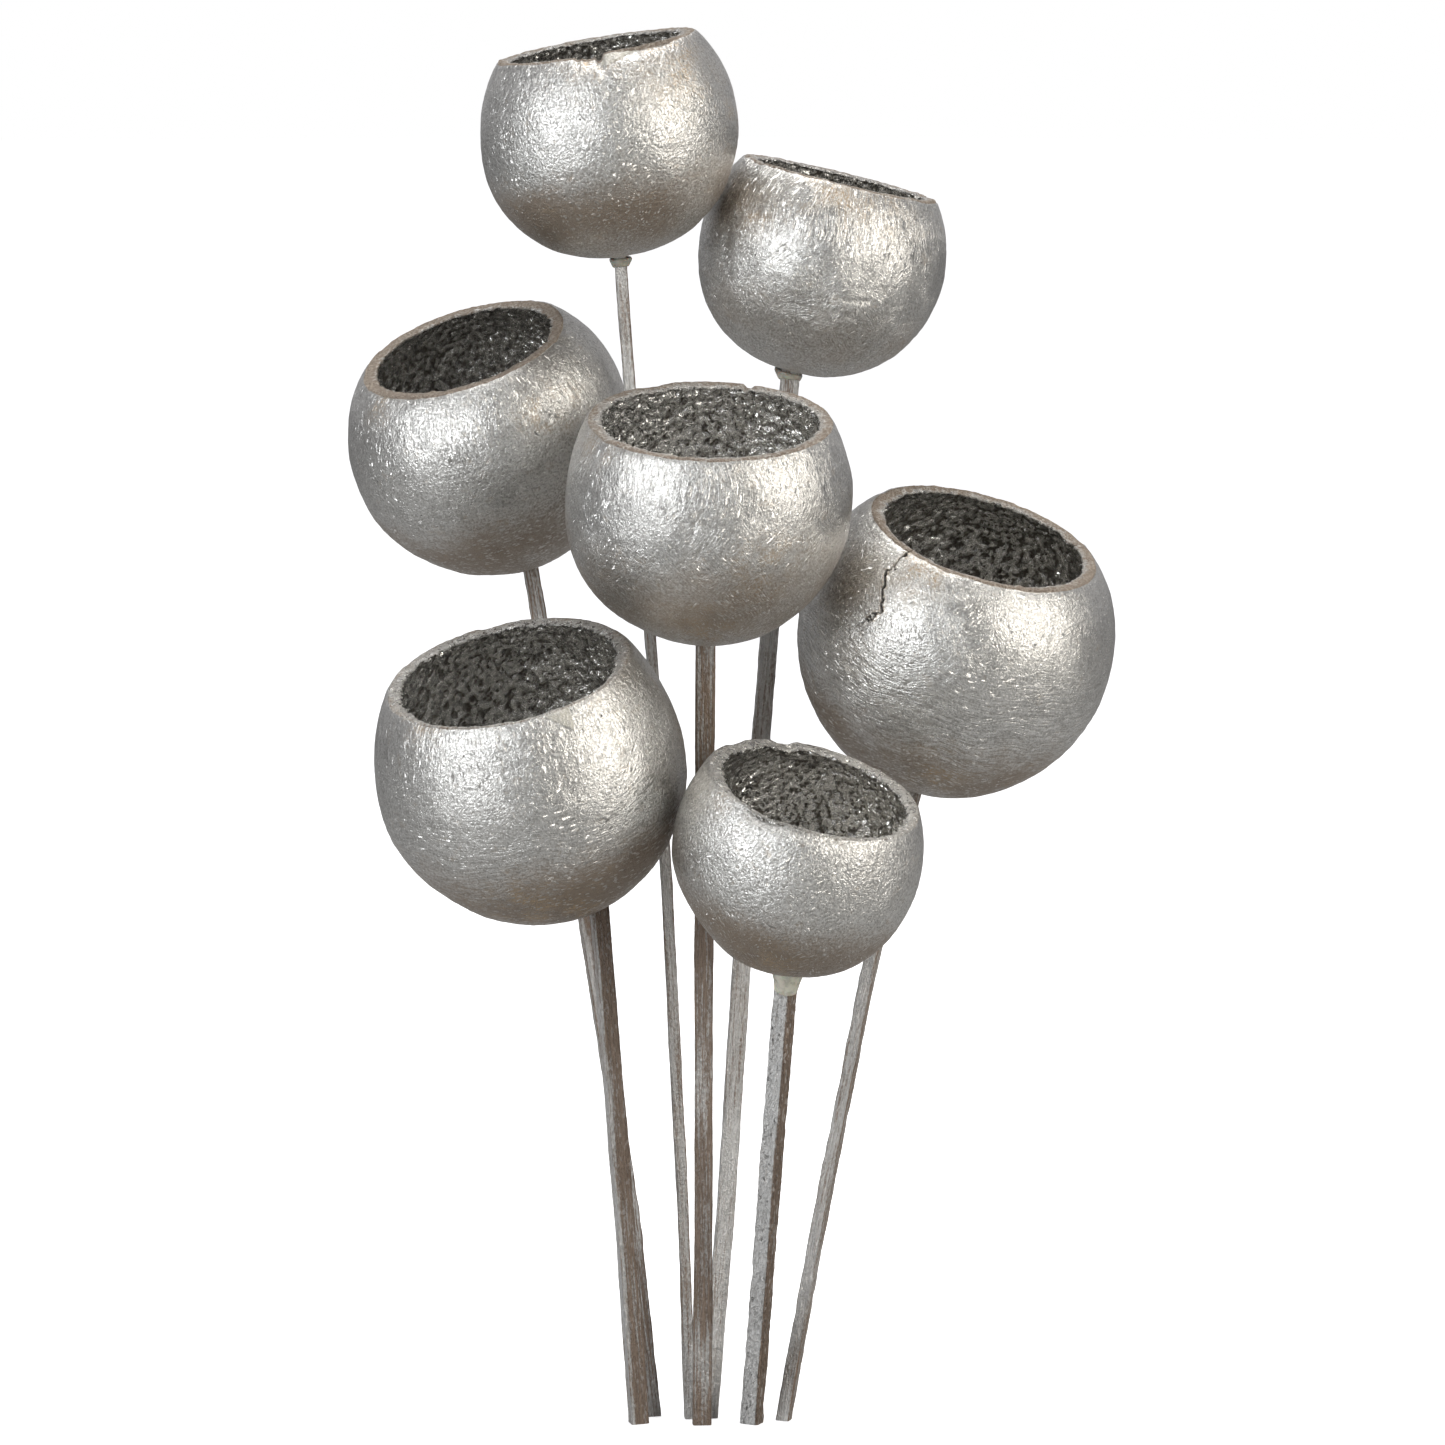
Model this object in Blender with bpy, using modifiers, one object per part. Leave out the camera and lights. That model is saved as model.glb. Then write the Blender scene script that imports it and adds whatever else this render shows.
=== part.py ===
"""Bunch of seven dried cup pods, painted silver, each glued on its own square stick.

Metres, +Z up. The origin is on the ground in the middle of the centre stick's foot, and
the bunch faces -Y. Every pod is a hollow shell with a sawn mouth at its top and a drilled
hole in its base. The stick goes through the hole, and a collar of glue holds it there.
"""

import math
from typing import NamedTuple

import bmesh
import bpy
from mathutils import Euler, Vector

MM = 0.001
BUNCH = "cup_pod_bunch"

WALL = 3.2  # thickness of a pod's wall at its widest ring
MOUTH_EDGE = 3.2  # width of the sawn edge round the mouth
GAP = 0.3  # clearance between pieces that touch
SPIN_STEPS = 28
LOWER_STEPS, UPPER_STEPS = 7, 4  # points on a pod's curve below and above its widest ring
SWELL_SPREAD = 0.45  # height a swell fades over, as a share of the pod's radius
SWELL_CORE = 0.5  # a swell fades out within this share of the radius from the pod's axis
DRILL_LENGTH = 16.0
DRILL_OVERRUN = 4.0  # how far the drill reaches past the stick's end inside the pod
GLUE_MARGIN = 0.35  # least thickness of glue outside a stick's corners
GLUE_REACH = 2.5  # how far a collar's blank runs into the pod before it is cut back
GLUE_SIDES = 18
STICK_BEVEL = 0.3
STICK_CORNER = 40  # edges of a stick sharper than this angle are bevelled
POD_CORNER = 35  # edges of a pod sharper than this angle are shaded sharp
WELD = 0.01  # points nearer than this are one

SILVER = (0.62, 0.61, 0.59, 1.0)
SILVER_WOOD = (0.47, 0.44, 0.41, 1.0)
GLUE_AMBER = (0.66, 0.64, 0.52, 1.0)


class Pick(NamedTuple):
    """One pod on its stick. Lengths are in mm, angles in degrees."""

    name: str
    centre: tuple  # middle of the pod's widest ring
    radius: float  # of the widest ring
    base: float  # depth of the base below the widest ring, as a share of radius
    crown: float  # height where the upper curve would close, as a share of radius
    mouth: float  # height of the mouth above the widest ring, as a share of radius
    lean: float  # turn of the mouth towards +X
    tip: float  # turn of the mouth towards -Y
    swells: tuple  # (direction, height as a share of radius, amount) of each bulge or flat
    stick: tuple  # centreline from the foot to the end inside the pod
    section: tuple  # the stick's width and depth
    turn: float  # of the stick's section about Z
    glue: tuple  # the collar's radius against the pod and its height below it


PICKS = (
    Pick(
        name="top",
        centre=(-21.7, 32, 303.5), radius=30.1, base=1.04, crown=1.0, mouth=0.63,
        lean=-9.5, tip=3.0, swells=((185, -0.6, 1.8),),
        stick=((-2.8, 5.5, 0), (-4.3, 10.5, 46.5), (-8.3, 19, 126.5), (-12, 24.5, 183),
               (-18, 32.5, 255.5), (-19.5, 34.5, 278)),
        section=(2.7, 2.7), turn=5, glue=(2.9, 1.9),
    ),
    Pick(
        name="upper_right",
        centre=(28.7, 49, 273.0), radius=29.4, base=1.02, crown=1.01, mouth=0.61,
        lean=13.6, tip=0.5, swells=((0, -0.6, 0.8), (180, -0.6, 0.8)),
        stick=((1.5, 6.5, 0), (5.5, 15, 45.5), (9.5, 26, 106.5), (14, 35, 157.5),
               (21.5, 51.5, 249)),
        section=(4.2, 3.4), turn=6, glue=(3.9, 1.7),
    ),
    Pick(
        name="left",
        centre=(-51.1, 44, 233.5), radius=33.3, base=1.145, crown=0.85, mouth=0.57,
        lean=-16.8, tip=17.8, swells=((190, -0.55, 2.2),),
        stick=((-11.5, 8, 0), (-16.5, 19, 45), (-21, 26, 73), (-39, 52, 185),
               (-42.5, 56.5, 204)),
        section=(3.5, 3.0), turn=15, glue=(3.3, 1.2),
    ),
    Pick(
        name="centre",
        centre=(1.7, -8, 220.3), radius=32.9, base=1.05, crown=1.1, mouth=0.57,
        lean=1.2, tip=13.4, swells=((200, -0.65, 1.4),),
        stick=((0, 0, 0), (0.5, 0, 49), (0.5, 0, 115.5), (1, 0, 192)),
        section=(4.3, 3.4), turn=3, glue=(3.6, 1.0),
    ),
    Pick(
        name="right",
        centre=(60.3, 20, 188.0), radius=36.8, base=1.165, crown=0.9, mouth=0.605,
        lean=15.5, tip=15.9, swells=((0, -0.5, 1.5), (180, -0.5, 0.8)),
        stick=((19.3, 4, 0), (27.8, 12.5, 46), (40.5, 24.5, 108.5), (52.5, 33, 154)),
        section=(3.2, 3.0), turn=-22, glue=(4.0, 1.5),
    ),
    Pick(
        name="lower_left",
        centre=(-39.0, -13, 155.7), radius=36.0, base=0.93, crown=1.24, mouth=0.765,
        lean=-11.2, tip=16.7, swells=((190, -0.7, -2.0), (20, -0.6, -1.3)),
        stick=((-14.8, 1, 0), (-18, -1, 49), (-22.4, -3, 105), (-24.3, -4.5, 131.5)),
        section=(4.3, 3.2), turn=20, glue=(3.5, 1.4),
    ),
    Pick(
        name="lower_right",
        centre=(21.8, -31.5, 141.5), radius=28.9, base=1.0, crown=1.1, mouth=0.57,
        lean=14.9, tip=14.7, swells=((195, -0.8, -2.9),),
        stick=((11.7, 1, 0), (15.2, -11, 51), (19.1, -23.5, 105.5), (20.5, -26.5, 117)),
        section=(4.5, 3.4), turn=-27, glue=(3.6, 5.2),
    ),
)


# --- the scene ---------------------------------------------------------------


def clear_scene():
    for obj in list(bpy.data.objects):
        bpy.data.objects.remove(obj)


def new_collection(name):
    collection = bpy.data.collections.new(name)
    bpy.context.scene.collection.children.link(collection)
    return collection


def make_material(name, colour, roughness, metallic):
    material = bpy.data.materials.new(name)
    material.use_nodes = True
    shader = material.node_tree.nodes["Principled BSDF"]
    shader.inputs["Base Color"].default_value = colour
    shader.inputs["Roughness"].default_value = roughness
    shader.inputs["Metallic"].default_value = metallic
    material.diffuse_color = colour
    return material


def mesh_object(name, bm, collection):
    """Turns a bmesh into an object whose faces point out."""
    bmesh.ops.recalc_face_normals(bm, faces=bm.faces)
    mesh = bpy.data.meshes.new(name)
    bm.to_mesh(mesh)
    bm.free()
    obj = bpy.data.objects.new(name, mesh)
    collection.objects.link(obj)
    return obj


def hide_cutter(obj):
    obj.hide_render = True
    obj.display_type = "WIRE"


def cut_away(obj, cutter):
    cut = obj.modifiers.new("cut by " + cutter.name, "BOOLEAN")
    cut.operation = "DIFFERENCE"
    cut.solver = "EXACT"
    cut.object = cutter


def shade_round(obj, angle):
    obj.data.shade_smooth()
    obj.data.set_sharp_from_angle(angle=math.radians(angle))


# --- the pod's form ----------------------------------------------------------


def oval(height, radius, below, above):
    """Radius, at a height, of an oval whose widest ring is at height 0."""
    reach = below if height < 0 else above
    return radius * math.sqrt(max(0.0, 1 - (height / reach) ** 2))


def outer_curve(pick, grow=0.0):
    """Points (radius, height) of the outside, from the mouth down to the base."""
    radius = pick.radius + grow
    below = pick.base * pick.radius + grow
    above = pick.crown * pick.radius + grow
    mouth = pick.mouth * pick.radius
    points = []
    for step in range(UPPER_STEPS):
        height = mouth * (1 - step / UPPER_STEPS)
        points.append((oval(height, radius, below, above), height))
    for step in range(LOWER_STEPS + 1):
        angle = math.pi / 2 * step / LOWER_STEPS
        points.append((radius * math.cos(angle), -below * math.sin(angle)))
    points[-1] = (0.0, -below)
    return points


def inner_curve(pick):
    """Points (radius, height) of the inside, from the base up to the mouth."""
    radius = pick.radius - WALL
    below = pick.base * pick.radius - WALL
    mouth = pick.mouth * pick.radius
    mouth_radius = outer_curve(pick)[0][0] - MOUTH_EDGE
    above = mouth / math.sqrt(1 - (mouth_radius / radius) ** 2)
    points = [(0.0, -below)]
    for step in range(1, LOWER_STEPS + 1):
        angle = math.pi / 2 * (1 - step / LOWER_STEPS)
        points.append((radius * math.cos(angle), -below * math.sin(angle)))
    for step in range(1, UPPER_STEPS + 1):
        height = mouth * step / UPPER_STEPS
        points.append((oval(height, radius, below, above), height))
    return points


def spin(name, curve, collection):
    """Spins a curve of (radius, height) points in mm, given inside-up and outside-down."""
    mesh = bpy.data.meshes.new(name + " curve")
    edges = [(i, i + 1) for i in range(len(curve) - 1)]
    mesh.from_pydata([(r * MM, 0, z * MM) for r, z in curve], edges, [])
    turned = bpy.data.objects.new(name + " curve", mesh)
    collection.objects.link(turned)
    screw = turned.modifiers.new("spin", "SCREW")
    screw.axis = "Z"
    screw.angle = 2 * math.pi
    screw.steps = SPIN_STEPS
    screw.render_steps = SPIN_STEPS
    screw.use_merge_vertices = True
    screw.merge_threshold = WELD * MM
    bpy.context.view_layer.update()
    graph = bpy.context.evaluated_depsgraph_get()
    solid = bpy.data.meshes.new_from_object(turned.evaluated_get(graph), depsgraph=graph)
    bpy.data.objects.remove(turned)
    bm = bmesh.new()
    bm.from_mesh(solid)
    bpy.data.meshes.remove(solid)
    bmesh.ops.remove_doubles(bm, verts=bm.verts, dist=WELD * MM)
    return mesh_object(name, bm, collection)


def swell(obj, pick):
    """Pushes the pod's sides out or in, as none of the pods is quite round."""
    radius = pick.radius * MM
    for vert in obj.data.vertices:
        across = math.hypot(vert.co.x, vert.co.y)
        if across < WELD * MM:
            continue
        direction = math.atan2(vert.co.y, vert.co.x)
        push = 0.0
        for towards, height, amount in pick.swells:
            facing = max(0.0, math.cos(direction - math.radians(towards))) ** 2
            level = (vert.co.z / radius - height) / SWELL_SPREAD
            near_base = min(1.0, across / (SWELL_CORE * radius))
            push += amount * MM * facing * math.exp(-level * level) * near_base
        vert.co.x *= 1 + push / across
        vert.co.y *= 1 + push / across


def seat(obj, pick):
    """Puts a pod, made upright about its widest ring, where it sits in the bunch."""
    obj.location = Vector(pick.centre) * MM
    obj.rotation_euler = Euler((math.radians(pick.tip), math.radians(pick.lean), 0))


# --- the stick's form --------------------------------------------------------


def stick_solid(name, pick, grow, collection):
    """Extrudes a rectangle level by level along the stick's centreline."""
    half_width = pick.section[0] / 2 + grow
    half_depth = pick.section[1] / 2 + grow
    turn = math.radians(pick.turn)
    foot = Vector(pick.stick[0])
    bm = bmesh.new()
    corners = []
    for x, y in ((-1, -1), (1, -1), (1, 1), (-1, 1)):
        across, along = x * half_width, y * half_depth
        offset = Vector((
            across * math.cos(turn) - along * math.sin(turn),
            across * math.sin(turn) + along * math.cos(turn),
            0,
        ))
        corners.append(bm.verts.new((foot + offset) * MM))
    foot_face = end = bm.faces.new(corners)
    for low, high in zip(pick.stick, pick.stick[1:]):
        grown = bmesh.ops.extrude_face_region(bm, geom=[end])
        if end is not foot_face:
            bmesh.ops.delete(bm, geom=[end], context="FACES_ONLY")
        end = next(item for item in grown["geom"] if isinstance(item, bmesh.types.BMFace))
        bmesh.ops.translate(bm, verts=end.verts, vec=(Vector(high) - Vector(low)) * MM)
    return mesh_object(name, bm, collection)


def stick_end(pick):
    """The stick's end inside the pod and its direction there, in mm."""
    end = Vector(pick.stick[-1])
    return end, (end - Vector(pick.stick[-2])).normalized()


def corner_reach(pick):
    """Distance from a stick's centreline to its corners."""
    return math.hypot(pick.section[0], pick.section[1]) / 2


def wall_depth(pick):
    """Distance down the stick from its end to the pod's outside, by halving."""
    end, direction = stick_end(pick)
    turned = Euler((math.radians(pick.tip), math.radians(pick.lean), 0)).to_matrix()
    near, far = 0.0, DRILL_LENGTH
    while far - near > WELD:
        middle = (near + far) / 2
        point = turned.transposed() @ (end - direction * middle - Vector(pick.centre))
        shape = pick.radius, pick.base * pick.radius, pick.crown * pick.radius
        if math.hypot(point.x, point.y) < oval(point.z, *shape):
            near = middle
        else:
            far = middle
    return near


def along_stick(name, pick, lower, upper, radii, sides, collection):
    """A cone on the stick's line, between two distances down from its end."""
    end, direction = stick_end(pick)
    bm = bmesh.new()
    bmesh.ops.create_cone(
        bm, cap_ends=True, segments=sides, radius1=radii[0] * MM, radius2=radii[1] * MM,
        depth=(lower - upper) * MM,
    )
    obj = mesh_object(name, bm, collection)
    obj.location = (end - direction * (lower + upper) / 2) * MM
    obj.rotation_euler = direction.to_track_quat("Z", "Y").to_euler()
    return obj


# --- the pieces --------------------------------------------------------------


def make_pod(pick, parts, cutters):
    pod = spin("pod_" + pick.name, inner_curve(pick) + outer_curve(pick), parts)
    swell(pod, pick)
    shade_round(pod, POD_CORNER)
    seat(pod, pick)
    hole = corner_reach(pick) + GAP
    drill = along_stick(
        "drill_" + pick.name, pick, DRILL_LENGTH - DRILL_OVERRUN, -DRILL_OVERRUN,
        (hole, hole), GLUE_SIDES, cutters,
    )
    hide_cutter(drill)
    cut_away(pod, drill)
    return pod


def make_stick(pick, parts):
    stick = stick_solid("stick_" + pick.name, pick, 0.0, parts)
    bevel = stick.modifiers.new("worn edges", "BEVEL")
    bevel.width = STICK_BEVEL * MM
    bevel.segments = 1
    bevel.limit_method = "ANGLE"
    bevel.angle_limit = math.radians(STICK_CORNER)
    return stick


def make_glue(pick, parts, cutters):
    radius, height = pick.glue
    outside = wall_depth(pick)
    low_radius = corner_reach(pick) + GAP + GLUE_MARGIN
    glue = along_stick(
        "glue_" + pick.name, pick, outside + height, outside - GLUE_REACH,
        (low_radius, radius), GLUE_SIDES, parts,
    )
    pod_room = spin("pod_room_" + pick.name, outer_curve(pick, GAP), cutters)
    bm = bmesh.new()
    bm.from_mesh(pod_room.data)
    bmesh.ops.holes_fill(bm, edges=[edge for edge in bm.edges if edge.is_boundary])
    bmesh.ops.recalc_face_normals(bm, faces=bm.faces)
    bm.to_mesh(pod_room.data)
    bm.free()
    swell(pod_room, pick)
    seat(pod_room, pick)
    stick_room = stick_solid("stick_room_" + pick.name, pick, GAP, cutters)
    for cutter in (pod_room, stick_room):
        hide_cutter(cutter)
        cut_away(glue, cutter)
    return glue


def main():
    clear_scene()
    parts = new_collection(BUNCH)
    cutters = new_collection("cutters")
    silver = make_material("silver painted pod", SILVER, 0.38, 0.75)
    silver_wood = make_material("silver painted stick", SILVER_WOOD, 0.55, 0.45)
    glue = make_material("hot melt glue", GLUE_AMBER, 0.35, 0.0)
    bunch = bpy.data.objects.new("bunch", None)
    parts.objects.link(bunch)
    for pick in PICKS:
        pieces = (
            (make_pod(pick, parts, cutters), silver),
            (make_stick(pick, parts), silver_wood),
            (make_glue(pick, parts, cutters), glue),
        )
        for piece, material in pieces:
            piece.data.materials.append(material)
            piece.parent = bunch


main()
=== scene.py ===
"""The looks of a bunch of silver-painted cup pods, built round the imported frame.

+Z is up and the bunch faces -Y. Every pod, stick and glue collar of the frame is replaced
by a finely modelled one that is worked out from the frame's own mesh. Shapes are worked
out in mm, and MM turns them into the frame's metres.
"""

import itertools
import math

import bmesh
import bpy
import numpy as np
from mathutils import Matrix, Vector


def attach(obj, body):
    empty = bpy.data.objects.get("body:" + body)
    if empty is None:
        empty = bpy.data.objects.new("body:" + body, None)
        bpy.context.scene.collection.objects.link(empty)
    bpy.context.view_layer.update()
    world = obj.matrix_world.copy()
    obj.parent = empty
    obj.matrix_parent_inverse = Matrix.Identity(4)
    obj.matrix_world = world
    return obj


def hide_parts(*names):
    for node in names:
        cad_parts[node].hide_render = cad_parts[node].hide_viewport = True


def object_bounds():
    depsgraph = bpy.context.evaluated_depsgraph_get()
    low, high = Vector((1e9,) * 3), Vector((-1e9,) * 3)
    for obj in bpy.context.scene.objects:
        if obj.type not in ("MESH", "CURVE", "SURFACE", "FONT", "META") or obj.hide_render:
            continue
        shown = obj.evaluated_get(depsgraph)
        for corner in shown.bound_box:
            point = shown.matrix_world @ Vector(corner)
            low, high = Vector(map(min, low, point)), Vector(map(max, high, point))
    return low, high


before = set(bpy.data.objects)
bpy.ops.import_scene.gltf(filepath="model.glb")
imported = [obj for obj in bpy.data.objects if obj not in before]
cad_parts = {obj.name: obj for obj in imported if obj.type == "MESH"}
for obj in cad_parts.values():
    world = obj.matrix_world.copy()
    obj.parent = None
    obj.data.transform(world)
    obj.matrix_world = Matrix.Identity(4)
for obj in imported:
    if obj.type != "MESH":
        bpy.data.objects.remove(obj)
cad_low, cad_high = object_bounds()

MM = 0.001
BODY = "root"

# Grid of a pod's surface: sides round it, and rows up the outside, over the sawn edge and
# down the inside.
SIDES = 360
OUTER_ROWS, EDGE_ROWS, INNER_ROWS = 126, 9, 112
DEGREE = 6  # of the polynomial that smooths the frame's facets

# What tells the pods apart. Azimuths are in degrees round the pod's own axis, where -90 faces
# the front, and depths are in mm below the mouth.
# sandy, around and upright: how much the paint is grainy, ringed and streaked up the pod.
# brown and brown_from: how brown the paint turns towards the bottom, partly real wear and partly
# painted shade underneath and a painted reflection of a warm floor, and the share of the depth where it
# starts.
# bare: how much of the sawn edge has no paint. lining and grain: the inside's extra
# brightness and the height of its pebbles.
# thin and bevel: an (azimuth, half width, amount) where the edge is thinner or leans in.
# chips: (azimuth, half width, depth). tan: patches of (azimuth, depth, size).
# flats and dents: (azimuth, depth, size, amount).
# creases, crack and peel: lines of (azimuth, depth).
PODS = {
    "top": dict(
        seed=11, sandy=0.7, around=0.45, upright=0.5, brown=0.75,
        brown_from=0.40, bare=0.65, thin=(-90, 60, 0.3), lining=0.06, grain=1.0,
        chips=((-93, 6, 1.0), (-87, 3.5, 1.7), (-99, 3, 0.7)), bevel=(-55, 26, 0.9),
        tan=((-95, 1.5, 8), (-45, 5, 11), (-10, 18, 7)), flats=((-35, 46, 13, 0.5),),
        dents=((-118, 40, 7, 0.5),),
        peel=((-88, -0.3), (-34, -0.3), (-52, 0.6), (-70, 1.3), (-87, 3.0)),
    ),
    "upper_right": dict(
        seed=23, sandy=0.15, around=0.35, upright=1.0, brown=0.45,
        brown_from=0.45, bare=0.55, thin=(-90, 60, 0.3), lining=0.1, grain=1.0,
        chips=((20, 4, 0.5), (-150, 7, 0.4)), bevel=(-130, 12, 0.3),
        tan=((-90, 3, 9), (-60, 2, 7), (-130, 12, 5)), flats=((-120, 44, 12, 0.5),),
        dents=((-68, 20, 5, 0.4), (-100, 30, 4, 0.3)),
        creases=(((-88, 24), (-76, 26), (-64, 25)), ((-80, 29), (-66, 30))),
    ),
    "left": dict(
        seed=37, sandy=0.5, around=0.5, upright=0.6, brown=0.8,
        brown_from=0.40, bare=0.9, thin=(-60, 60, 0.3), lining=0.03, grain=1.0,
        chips=((-20, 5, 0.5), (-160, 6, 0.4)), bevel=(-35, 14, 0.3),
        tan=((-52, 11, 8), (-30, 30, 6), (-140, 1, 6)), flats=((-60, 46, 13, 0.6),),
        dents=((-112, 9, 3, 0.35), (-60, 26, 9, 0.5), (-95, 41, 2, 0.3)),
        creases=(((-102, 32), (-86, 34.8), (-72, 34.6), (-60, 32.5)), ((-46, 24), (-41, 28))),
    ),
    "centre": dict(
        seed=41, sandy=0.3, around=0.4, upright=0.6, brown=0.55,
        brown_from=0.30, bare=0.6, thin=(-90, 60, 0.5), lining=0.16, grain=1.3,
        chips=((71, 3, 0.9), (120, 9, 0.4), (-150, 8, 0.3)), bevel=(-145, 20, 0.3),
        tan=((-64, 24, 9), (-90, 42, 8), (-150, 1, 8)), flats=((-140, 44, 13, 0.5),),
        dents=((-94, 22, 1.6, 0.5), (-92, 22, 5, 0.3), (-70, 30, 9, 0.3)),
        creases=(((-95, 13), (-97.5, 18.5), (-100, 24)), ((-92, 26), (-94.5, 30))),
    ),
    "right": dict(
        seed=59, sandy=0.3, around=1.0, upright=0.35, brown=0.8,
        brown_from=0.46, bare=0.75, thin=(-110, 70, 0.8), lining=0.02, grain=0.85,
        chips=((150, 6, 0.4), (30, 5, 0.5), (-115, 9, 0.3)), bevel=(-60, 12, 0.3),
        tan=((-120, 2, 7), (-90, 49, 10)), flats=((-130, 50, 13, 0.5),),
        dents=((-97, 22, 1.2, 0.3),),
        creases=(((-96, 28), (-80, 30), (-62, 28)), ((-104, 40), (-84, 43), (-70, 42))),
        crack=((-132.8, -0.4), (-134, 2.2), (-134.1, 3.3), (-136.4, 5), (-135.1, 6.4),
               (-132.5, 8), (-131.6, 9.4), (-130.2, 10.3), (-129.5, 12), (-127.8, 13),
               (-130.1, 14.2), (-132.1, 16.2), (-134, 17.2), (-136.4, 19.1)),
    ),
    "lower_left": dict(
        seed=67, sandy=0.4, around=0.8, upright=0.5, brown=0.95,
        brown_from=0.42, bare=0.35, thin=(-85, 80, 2.0), lining=0.1, grain=1.1,
        chips=((100, 8, 0.4), (-160, 5, 0.4)), bevel=(-100, 30, 0.3),
        tan=((-98, 47, 12), (-75, 51, 9), (-130, 1, 6)), flats=(),
        dents=((-65, 30, 8, 0.3),),
        peel=((-74, -0.2), (-59, -0.2), (-59.5, 2.4), (-61, 5.2), (-66.5, 2.7)),
    ),
    "lower_right": dict(
        seed=73, sandy=0.75, around=0.35, upright=0.4, brown=0.85,
        brown_from=0.36, bare=0.2, thin=(-95, 80, 2.2), lining=0.1, grain=0.42,
        chips=((107, 9, 0.9), (140, 8, 0.5), (-120, 12, 0.4)), bevel=(-100, 50, 0.9),
        tan=((-142, 1.5, 5), (-95, 36, 9)), flats=((-90, 45, 12, 0.4),),
        dents=((-60, 24, 6, 0.3),),
    ),
}


# --- repeatable noise, on arrays of points in mm ---


def lattice(cells, seed):
    """A repeatable number from 0 to 1 for each whole-number cell."""
    whole = cells.astype(np.int64)
    mixed = whole[..., 0] * 73856093 ^ whole[..., 1] * 19349663 ^ whole[..., 2] * 83492791
    mixed = (mixed + seed * 374761393) & 0xFFFFFFFF
    mixed = ((mixed ^ (mixed >> 15)) * 2246822519) & 0xFFFFFFFF
    mixed = ((mixed ^ (mixed >> 13)) * 3266489917) & 0xFFFFFFFF
    return (mixed ^ (mixed >> 16)) / 0xFFFFFFFF


def noise(points, size, seed):
    """Smooth noise from -1 to 1, in lumps about size across."""
    scaled = points / size
    cell = np.floor(scaled)
    along = scaled - cell
    along = along * along * (3 - 2 * along)
    total = np.zeros(points.shape[:-1])
    for corner in itertools.product((0, 1), repeat=3):
        share = np.ones(points.shape[:-1])
        for axis in range(3):
            share = share * (along[..., axis] if corner[axis] else 1 - along[..., axis])
        total += share * lattice(cell + np.array(corner), seed)
    return total * 2 - 1


def grains(points, size, seed):
    """Distance to the nearest of a scatter of points about size apart, as a share of size."""
    scaled = points / size
    cell = np.floor(scaled)
    nearest = np.full(points.shape[:-1], 9.0)
    for corner in itertools.product((-1, 0, 1), repeat=3):
        near_cell = cell + np.array(corner)
        spread = [lattice(near_cell, seed + axis) for axis in range(3)]
        middle = near_cell + 0.1 + 0.8 * np.stack(spread, -1)
        nearest = np.minimum(nearest, np.linalg.norm(scaled - middle, axis=-1))
    return nearest


def rise(value, low, high):
    """0 below low, 1 above high, and smooth between."""
    share = np.clip((value - low) / (high - low), 0, 1)
    return share * share * (3 - 2 * share)


def turn_apart(a, b):
    """Smallest difference of two azimuths, in degrees."""
    return np.abs((a - b + 180) % 360 - 180)


def near_azimuth(azimuth_deg, towards, half_width, flat):
    """1 near an azimuth, from the flat share of the half width on falling to 0."""
    return 1 - rise(turn_apart(azimuth_deg, towards), flat * half_width, half_width)


def add_object(name, data):
    thing = bpy.data.objects.new(name, data)
    bpy.context.scene.collection.objects.link(thing)
    return thing


# --- reading a pod's form from the frame ---


def read_vectors(data, field):
    vectors = np.empty(len(data) * 3)
    data.foreach_get(field, vectors)
    return vectors.reshape(-1, 3)


def read_points(mesh):
    return read_vectors(mesh.vertices, "co") / MM


def write_points(mesh, points):
    mesh.vertices.foreach_set("co", (points * MM).ravel())


def triangles(node):
    """Corners of a frame node's triangles, in mm."""
    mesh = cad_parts[node].data
    mesh.calc_loop_triangles()
    corners = np.empty(len(mesh.loop_triangles) * 3, dtype=np.int32)
    mesh.loop_triangles.foreach_get("vertices", corners)
    return read_points(mesh)[corners].reshape(-1, 3, 3)


def unit(vectors):
    return vectors / np.linalg.norm(vectors, axis=-1, keepdims=True)


# On a unit sphere z squared is what x and y leave of 1, so z needs no higher power.
POWERS = [p for p in itertools.product(range(DEGREE + 1), range(DEGREE + 1), (0, 1)) if sum(p) <= DEGREE]
STEADY = 1e-9  # keeps the fit's equations well away from singular


def terms(directions):
    x, y, z = directions[..., 0], directions[..., 1], directions[..., 2]
    return np.stack([x**i * y**j * z**k for i, j, k in POWERS], -1)


def smooth_radius(points):
    """A function that gives the distance out to a surface through points, by direction."""
    distance = np.linalg.norm(points, axis=-1)
    known = terms(unit(points))
    square = known.T @ known
    square += np.eye(len(square)) * np.trace(square) * STEADY
    weights = np.linalg.solve(square, known.T @ distance)
    return lambda directions: terms(directions) @ weights


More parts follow.
